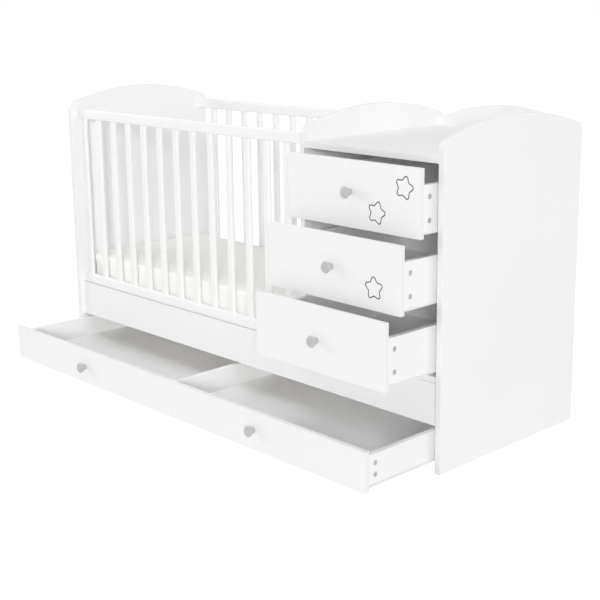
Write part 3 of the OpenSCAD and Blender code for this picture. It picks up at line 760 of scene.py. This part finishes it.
def mattress():
    # Padded cover blown out softly from a slightly smaller shape, kept inside the solid's box
    low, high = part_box("mattress")
    centre = (low + high) / 2
    mesh = bmesh.new()
    mesh.from_mesh(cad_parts["mattress"].data)
    bmesh.ops.remove_doubles(mesh, verts=mesh.verts, dist=0.01 * mm)
    sizes = high - low
    shrink = [1 - 2 * padLooks["smaller"] / sizes[i] for i in range(3)]
    for vertex in mesh.verts:
        vertex.co = Vector([centre[i] + (vertex.co[i] - centre[i]) * shrink[i] for i in range(3)])
    pad = fromMesh(mesh, "mattress_pad")
    remesh = pad.modifiers.new("voxels", "REMESH")
    remesh.mode = "VOXEL"
    remesh.voxel_size = padLooks["voxel"] * 1
    settle(pad)
    blowOut(pad)
    for vertex in pad.data.vertices:
        for i in range(3):
            vertex.co[i] = min(max(vertex.co[i], low[i] + padLooks["inside"]), high[i] - padLooks["inside"])
    pad.data.materials.clear()
    pad.data.materials.append(coverCloth)
    pad.data.shade_smooth()
    smooth = pad.modifiers.new("smooth", "SUBSURF")
    smooth.levels = smooth.render_levels = 1
    settle(pad)
    seat(pad, "frame", "mattress_cover", "mattress")


def blowOut(pad):
    # Cloth under a light inner pressure; no point moves further than the cap
    scene = bpy.context.scene
    start = [vertex.co.copy() for vertex in pad.data.vertices]
    cloth = pad.modifiers.new("cover", "CLOTH")
    cloth.settings.use_pressure = True
    cloth.settings.uniform_pressure_force = padLooks["pressure"]
    cloth.settings.effector_weights.gravity = 0.0
    cloth.settings.quality = padLooks["quality"]
    cloth.point_cache.frame_start = 1
    cloth.point_cache.frame_end = padLooks["frames"]
    for step in range(1, padLooks["frames"] + 1):
        scene.frame_set(step)
    settle(pad)
    scene.frame_set(1)
    for vertex, old in zip(pad.data.vertices, start):
        moved = vertex.co - old
        if moved.length > padLooks["cap"]:
            vertex.co = old + moved * (padLooks["cap"] / moved.length)


mattress()
print("mattress made")


# Drawers
drawerLooks = {"groove": 6 * mm, "grooveGap": 0.1 * mm, "camInset": 32 * mm,
               "camPitch": 63 * mm, "bedCamPitch": 32 * mm, "hole": 2.1 * mm}
camLooks = {"radius": 7.5 * mm, "length": 11 * mm, "hole": 7.6 * mm, "rim": 0.7 * mm, "bevel": 0.3 * mm,
            "sunk": 0.4 * mm, "crossReach": 3.4 * mm, "crossWidth": 1.5 * mm, "crossDeep": 2.2 * mm}
starLooks = {"arms": 5, "tipCentre": 24.05 * mm, "tipRadius": 6.5 * mm, "tipSteps": 8, "notch": 20.3 * mm,
             "width": 3.3 * mm, "deep": 0.8 * mm}
starPlaces = {"upper": ((0.89, 0.704, -86), (0.693, 0.283, -86)), "middle": ((0.812, 0.325, 3),)}


def starLine(x, y, z, tilt):
    # Middle line of a star with rounded tips, standing in the plane of a drawer front
    tipCentre, tipRadius, notch = starLooks["tipCentre"], starLooks["tipRadius"], starLooks["notch"]
    sector, steps = 360 / starLooks["arms"], starLooks["tipSteps"]
    across = notch * math.cos(math.radians(sector / 2)) - tipCentre
    up = notch * math.sin(math.radians(sector / 2))
    turn = math.atan2(up, across) - math.acos(tipRadius / math.hypot(across, up))
    points = []
    for arm in range(starLooks["arms"]):
        middle = math.radians(90 + sector * arm + tilt)
        for j in range(-steps, steps + 1):
            angle = middle + turn * j / steps
            points.append((tipCentre * math.cos(middle) + tipRadius * math.cos(angle),
                           tipCentre * math.sin(middle) + tipRadius * math.sin(angle)))
        valley = middle + math.radians(sector / 2)
        points.append((notch * math.cos(valley), notch * math.sin(valley)))
    return [(x + a, y, z + b) for a, b in points]


def starTool(name, low, high):
    # Tubes along the stars' lines, sunk so that each cuts its width and depth into the front
    tubes = bmesh.new()
    deep = starLooks["deep"]
    tubeRadius = (starLooks["width"] ** 2 / 4 + deep ** 2) / (2 * deep)
    for shareX, shareZ, tilt in starPlaces.get(name, ()):
        x = low.x + shareX * (high.x - low.x)
        z = low.z + shareZ * (high.z - low.z)
        points = starLine(x, low.y - tubeRadius + deep, z, tilt)
        line = newPiece("starLine")
        line.data.from_pydata(points, [(i, (i + 1) % len(points)) for i in range(len(points))], [])
        applyTree(line, roundTube, radius=tubeRadius, material=cutLine)
        tubes.from_mesh(line.data)
        bpy.data.objects.remove(line)
    bmesh.ops.recalc_face_normals(tubes, faces=tubes.faces)
    return tubes


def drawerFront(name):
    node = name + "_drawer_front"
    low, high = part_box(node)
    sheetLow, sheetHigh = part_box(name + "_drawer_bottom")
    tubes = starTool(name, low, high)
    materials = (cutLine, shadedEdgeBand) if len(tubes.faces) > 0 else (shadedEdgeBand,)
    plain = len(materials) - 1
    gap = drawerLooks["grooveGap"]
    addBox(tubes, (sheetLow.x - gap, high.y - drawerLooks["groove"], sheetLow.z - gap),
           (sheetHigh.x + gap, high.y + 1 * mm, sheetHigh.z + gap), None, plain)
    for x, z in knobCentres(name):
        addPin(tubes, (x, low.y - 1 * mm, z), (x, high.y + 1 * mm, z), drawerLooks["hole"], 24, plain)
    tool = fromMesh(tubes, "frontTool", *materials)
    boardPiece(node + "_board", name + "_drawer", "white_board", node, 1, tool=tool)


def knobCentres(name):
    node = "bed_drawer_knobs" if name == "bed" else name + "_drawer_knob"
    return [((low.x + high.x) / 2, (low.z + high.z) / 2) for low, high in shells(node)]


def sideBoxes(name):
    # Each side of a drawer as its low corner, its high corner and which way is outwards
    if name == "bed":
        left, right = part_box("bed_drawer_left_side"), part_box("bed_drawer_right_side")
    else:
        left, right = shells(name + "_drawer_sides")
    return [(*left, -1), (*right, 1)]


def camPlaces(name):
    pitch = drawerLooks["bedCamPitch" if name == "bed" else "camPitch"]
    places = []
    for low, high, outwards in sideBoxes(name):
        x = high.x if outwards > 0 else low.x
        for z in ((low.z + high.z - pitch) / 2, (low.z + high.z + pitch) / 2):
            places.append((Vector((x, low.y + drawerLooks["camInset"], z)), outwards))
    return places


def drawerSides(name):
    sheetLow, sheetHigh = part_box(name + "_drawer_bottom")
    gap = drawerLooks["grooveGap"]
    nodes = ["bed_drawer_left_side", "bed_drawer_right_side"] if name == "bed" else [name + "_drawer_sides"]
    groups = [[side] for side in sideBoxes(name)] if name == "bed" else [sideBoxes(name)]
    for node, sides in zip(nodes, groups):
        tool = bmesh.new()
        for low, high, outwards in sides:
            inner = low.x if outwards > 0 else high.x
            groove = sorted((inner - outwards * 1 * mm, inner + outwards * drawerLooks["groove"]))
            addBox(tool, (groove[0], low.y - 1 * mm, sheetLow.z - gap),
                   (groove[1], high.y + 1 * mm, sheetHigh.z + gap))
            for place, way in camPlaces(name):
                if way == outwards:
                    outer = place + Vector((way * 1 * mm, 0, 0))
                    deepest = place - Vector((way * (camLooks["length"] + 0.1 * mm), 0, 0))
                    addPin(tool, outer, deepest, camLooks["hole"], 48)
        boards = [(low, high) for low, high, way in sides]
        boardPiece(node + "_board", name + "_drawer", "white_board", node, 0,
                   tool=fromMesh(tool, "sideTool", shadedEdgeBand), boxes=boards)


for name in drawers:
    drawerFront(name)
    drawerSides(name)
    back, sheet = name + "_drawer_back", name + "_drawer_bottom"
    boardPiece(back + "_board", name + "_drawer", "white_board", back, 1)
    boardPiece(sheet + "_sheet", name + "_drawer", "thin_board", sheet, 2, sheetEdge, sheetLike)
boardPiece("bed_drawer_divider_board", "bed_drawer", "white_board", "bed_drawer_divider", 0)
print("drawers made")


# Knobs, cams, screws and rollers
knobShape = {"faceRadius": 16 * mm, "footRadius": 8.5 * mm, "footHeight": 1.5 * mm, "height": 26 * mm,
             "rim": 3 * mm, "rimStart": -35, "dome": 1.2 * mm, "hollow": 1.25}


def knobMaster():
    # Flared knob: narrow round foot, slightly hollow flare, wide face that is slightly domed
    face, foot, footHeight = knobShape["faceRadius"], knobShape["footRadius"], knobShape["footHeight"]
    height, rim, dome = knobShape["height"], knobShape["rim"], knobShape["dome"]
    profile = [(0.0, 0.0), (foot - 0.5 * mm, 0.0), (foot, 0.5 * mm), (foot, footHeight)]
    start = math.radians(knobShape["rimStart"])
    flareRadius = face - rim + rim * math.cos(start)
    flareTop = height - dome - rim + rim * math.sin(start)
    for i in range(1, 12):
        share = i / 12
        profile.append((foot + (flareRadius - foot) * share ** knobShape["hollow"],
                        footHeight + (flareTop - footHeight) * share))
    for i in range(9):
        angle = math.radians(knobShape["rimStart"] + (90 - knobShape["rimStart"]) * i / 8)
        profile.append((face - rim + rim * math.cos(angle), height - dome - rim + rim * math.sin(angle)))
    for i in range(1, 7):
        share = 1 - i / 6
        profile.append(((face - rim) * share, height - dome * share * share))
    return evenShade(lathe("knobMaster", profile, 64, knobGrey), 50.0)


def camMaster():
    # Cam fastener seen from outside: rim, flat face a little sunk, and a cross recess; its face is at z = 0
    looks = camLooks
    radius, length, bevel, sunk = looks["radius"], looks["length"], looks["bevel"], looks["sunk"]
    inner = radius - looks["rim"]
    profile = [(0.0, -length), (radius - bevel, -length), (radius, -length + bevel), (radius, -0.25 * mm),
               (radius - 0.2 * mm, -0.05 * mm), (inner, -0.05 * mm), (inner - 0.2 * mm, -sunk), (0.0, -sunk)]
    return crossCut(lathe("camMaster", profile, 48, zinc), looks["crossReach"], looks["crossWidth"], -sunk,
                    looks["crossDeep"])


screwLooks = {"headRadius": 4.5 * mm, "headHeight": 2.5 * mm, "shankRadius": 2 * mm, "shankLength": 30 * mm}


def screwMaster(name, head, rise, shank, length):
    # Pan-head screw whose head stands on z = 0 and whose shank goes down from it
    profile = [(0.0, -length), (shank, -length), (shank, 0.0), (head, 0.0), (head, 0.25 * rise)]
    for i in range(1, 7):
        angle = math.radians(90 * i / 6)
        profile.append((head * (0.55 + 0.45 * math.cos(angle)), rise * (0.25 + 0.75 * math.sin(angle))))
    profile.append((0.0, rise))
    return crossCut(lathe(name, profile, 32, zinc), 0.55 * head, 0.2 * head, rise, 0.5 * rise)


rollerLooks = {"bore": 2.58 * mm, "tread": 8 * mm, "half": 4 * mm, "hub": 4.2 * mm, "rim": 6.2 * mm,
               "sunk": 0.9 * mm}


def rollerMaster():
    # Roller with a bore, a hub ring, a sunk web and a crowned tread; it is centred on z = 0
    looks = rollerLooks
    half, hub, rim, tread, step = looks["half"], looks["hub"], looks["rim"], looks["tread"], 0.2 * mm
    web = half - looks["sunk"]
    side = [(looks["bore"], half), (hub, half), (hub + step, web), (rim - step, web), (rim, half),
            (tread - 0.7 * mm, half), (tread - 0.15 * mm, half - 0.5 * mm), (tread, 0.4 * half)]
    profile = [(radius, -height) for radius, height in side] + side[::-1]
    return evenShade(lathe("rollerMaster", profile, 40, nylon, True), 40.0)


runnerLooks = {"metal": 1.2 * mm, "gap": 13 * mm, "screwShares": (0.1, 0.42, 0.78), "footMiddle": 8 * mm,
               "channelHeight": -9.5 * mm, "headRadius": 3 * mm, "headRise": 1.2 * mm, "shank": 1.5 * mm,
               "shankLength": 9 * mm}


def runnerScrews(name, screw):
    # Small screws that hold the fixed channels to the panels and the moving rails to the drawer sides
    channelLow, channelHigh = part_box("bed_runners" if name == "bed" else "chest_runners")
    railLow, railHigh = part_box(name + "_drawer_rails")
    fixed, moving = [], []
    for low, high, outwards in sideBoxes(name):
        outer = high.x if outwards > 0 else low.x
        for share in runnerLooks["screwShares"]:
            x = outer + outwards * (runnerLooks["gap"] - runnerLooks["metal"])
            y = channelLow.y + (channelHigh.y - channelLow.y) * share
            fixed.append(((x, y, low.z + runnerLooks["channelHeight"]), toLeft if outwards > 0 else toRight))
            x = outer - outwards * runnerLooks["footMiddle"]
            y = railLow.y + (railHigh.y - railLow.y) * share
            moving.append(((x, y, low.z - runnerLooks["metal"]), toFloor))
    seat(copiesAt(name + "_channel_screws", screw, fixed, zinc), "frame", "zinc")
    seat(copiesAt(name + "_rail_screws", screw, moving, zinc), name + "_drawer", "zinc")


def fittings():
    knob = knobMaster()
    cam = camMaster()
    knobScrew = screwMaster("knobScrew", screwLooks["headRadius"], screwLooks["headHeight"],
                            screwLooks["shankRadius"], screwLooks["shankLength"])
    runnerScrew = screwMaster("runnerScrew", runnerLooks["headRadius"], runnerLooks["headRise"],
                              runnerLooks["shank"], runnerLooks["shankLength"])
    roller = rollerMaster()
    for name in drawers:
        body = name + "_drawer"
        knobs = "bed_drawer_knobs" if name == "bed" else name + "_drawer_knob"
        low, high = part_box(name + "_drawer_front")
        centres = knobCentres(name)
        piece = copiesAt(knobs + "_turned", knob, [((x, low.y, z), toFront) for x, z in centres], knobGrey)
        seat(piece, body, "knob_plastic", knobs)
        cams = [(place, toRight if way > 0 else toLeft) for place, way in camPlaces(name)]
        seat(copiesAt(name + "_drawer_cams", cam, cams, zinc), body, "zinc", name + "_drawer_fasteners")
        screws = [((x, high.y, z), toRear) for x, z in centres]
        seat(copiesAt(name + "_drawer_knob_screws", knobScrew, screws, zinc), body, "zinc")
        runnerScrews(name, runnerScrew)
        for end, rides in (("front", name + "_front_rollers"), ("rear", name + "_rear_rollers")):
            ends = [((low + high) / 2, toRight) for low, high in shells(rides)]
            piece = copiesAt(rides + "_moulded", roller, ends, nylon)
            seat(piece, rides, "roller_plastic", rides)
    for master in (knob, cam, knobScrew, runnerScrew, roller):
        bpy.data.objects.remove(master)


fittings()
finishes = {name + "_drawer_rails": coatedSteel for name in drawers}
finishes.update(chest_runners=coatedSteel, bed_runners=coatedSteel, frame_dowels=woodAlong)
for node, material in finishes.items():
    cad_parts[node].data.materials.clear()
    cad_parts[node].data.materials.append(material)
print("fittings made")


# Floor, light and camera
stageLooks = {"floor": 240, "floorSize": 60.0, "floorHeight": -0.2 * mm, "floorGlow": 1.22,
              "glowShare": 0.78, "sky": 0.36}
lampLooks = {"softFront": {"place": (10.6, -9.9, 3.7), "size": 2.8, "power": 960.0},
             "softFrontLeft": {"place": (-9.0, -4.5, 2.8), "size": 4.0, "power": 230.0},
             "softLeft": {"place": (-9.0, 1.0, 2.8), "size": 4.0, "power": 150.0},
             "softRight": {"place": (6.5, 3.5, 2.0), "size": 3.0, "power": 54.0},
             "softTop": {"place": (0.3, -0.4, 5.5), "size": 3.6, "power": 80.0}}
lampAim = Vector((0.2, 0.0, 0.45))
bounces = {"all": 16, "diffuse": 12}        # white drawers pass light on many times


def seenDirectly(bench):
    # 1 for rays from the camera, mirrors and glass; 0 for the light that reaches the object
    path = bench.add("ShaderNodeLightPath")
    return path.math("MAXIMUM", path.out("Is Camera Ray"),
                     path.math("MAXIMUM", path.out("Is Glossy Ray"), path.out("Is Transmission Ray")))


def floor():
    mesh = bmesh.new()
    half = stageLooks["floorSize"] / 2
    corners = ((-half, -half), (half, -half), (half, half), (-half, half))
    mesh.faces.new([mesh.verts.new((x, y, stageLooks["floorHeight"])) for x, y in corners])
    material = bpy.data.materials.new("paleFloor")
    material.use_nodes = True
    bench = Bench(material.node_tree)
    seen = seenDirectly(bench)
    matt = bench.add("ShaderNodeBsdfDiffuse", {}, {"Color": tone(stageLooks["floor"])})
    glow = bench.add("ShaderNodeEmission", {}, {"Strength": stageLooks["floorGlow"]})
    shader = bench.add("ShaderNodeMixShader", {}, {0: seen * stageLooks["glowShare"], 1: matt, 2: glow})
    bench.add("ShaderNodeOutputMaterial", {}, {"Surface": shader})
    fromMesh(mesh, "floor", material)


def light():
    scene = bpy.context.scene
    scene.world = bpy.data.worlds.new("softSky")
    scene.world.use_nodes = True
    bench = Bench(scene.world.node_tree)
    seen = seenDirectly(bench)
    strength = seen + (1 - seen) * stageLooks["sky"]
    sky = bench.add("ShaderNodeBackground", {}, {"Color": (1.0, 1.0, 1.0, 1.0), "Strength": strength})
    bench.add("ShaderNodeOutputWorld", {}, {"Surface": sky})
    for name, looks in lampLooks.items():
        lamp = bpy.data.lights.new(name, "AREA")
        lamp.shape = "DISK"
        lamp.size = looks["size"]
        lamp.energy = looks["power"]
        holder = bpy.data.objects.new(name, lamp)
        scene.collection.objects.link(holder)
        holder.location = looks["place"]
        holder.rotation_euler = (lampAim - holder.location).to_track_quat("-Z", "Y").to_euler()


cameraLooks = {"place": (2.80099, -2.47595, 1.26970), "yaw": 46.3925, "pitch": 12.6246, "roll": -0.6372,
               "focal": 1177.71, "centre": (308.75, 260.97), "picture": 600.0}


def camera():
    # The photograph's viewpoint: focal length and picture centre in pixels of a 600 by 600 frame
    looks = cameraLooks
    yaw, pitch, roll = [math.radians(looks[name]) for name in ("yaw", "pitch", "roll")]
    forward = Vector((-math.sin(yaw) * math.cos(pitch), math.cos(yaw) * math.cos(pitch), -math.sin(pitch)))
    right = Vector((math.cos(yaw), math.sin(yaw), 0.0))
    up = right.cross(forward)
    across = right * math.cos(roll) + up * math.sin(roll)
    upward = up * math.cos(roll) - right * math.sin(roll)
    data = bpy.data.cameras.new("camera")
    data.sensor_width = 36.0
    data.lens = looks["focal"] * 36.0 / looks["picture"]
    data.shift_x = (looks["picture"] / 2 - looks["centre"][0]) / looks["picture"]
    data.shift_y = (looks["centre"][1] - looks["picture"] / 2) / looks["picture"]
    data.clip_end = 200.0
    holder = bpy.data.objects.new("camera", data)
    bpy.context.scene.collection.objects.link(holder)
    turn = Matrix((across, upward, -forward)).transposed()
    holder.matrix_world = Matrix.Translation(looks["place"]) @ turn.to_4x4()
    bpy.context.scene.camera = holder


floor()
light()
camera()
bpy.context.scene.view_settings.view_transform = "Standard"
bpy.context.scene.cycles.max_bounces = bounces["all"]
bpy.context.scene.cycles.diffuse_bounces = bounces["diffuse"]
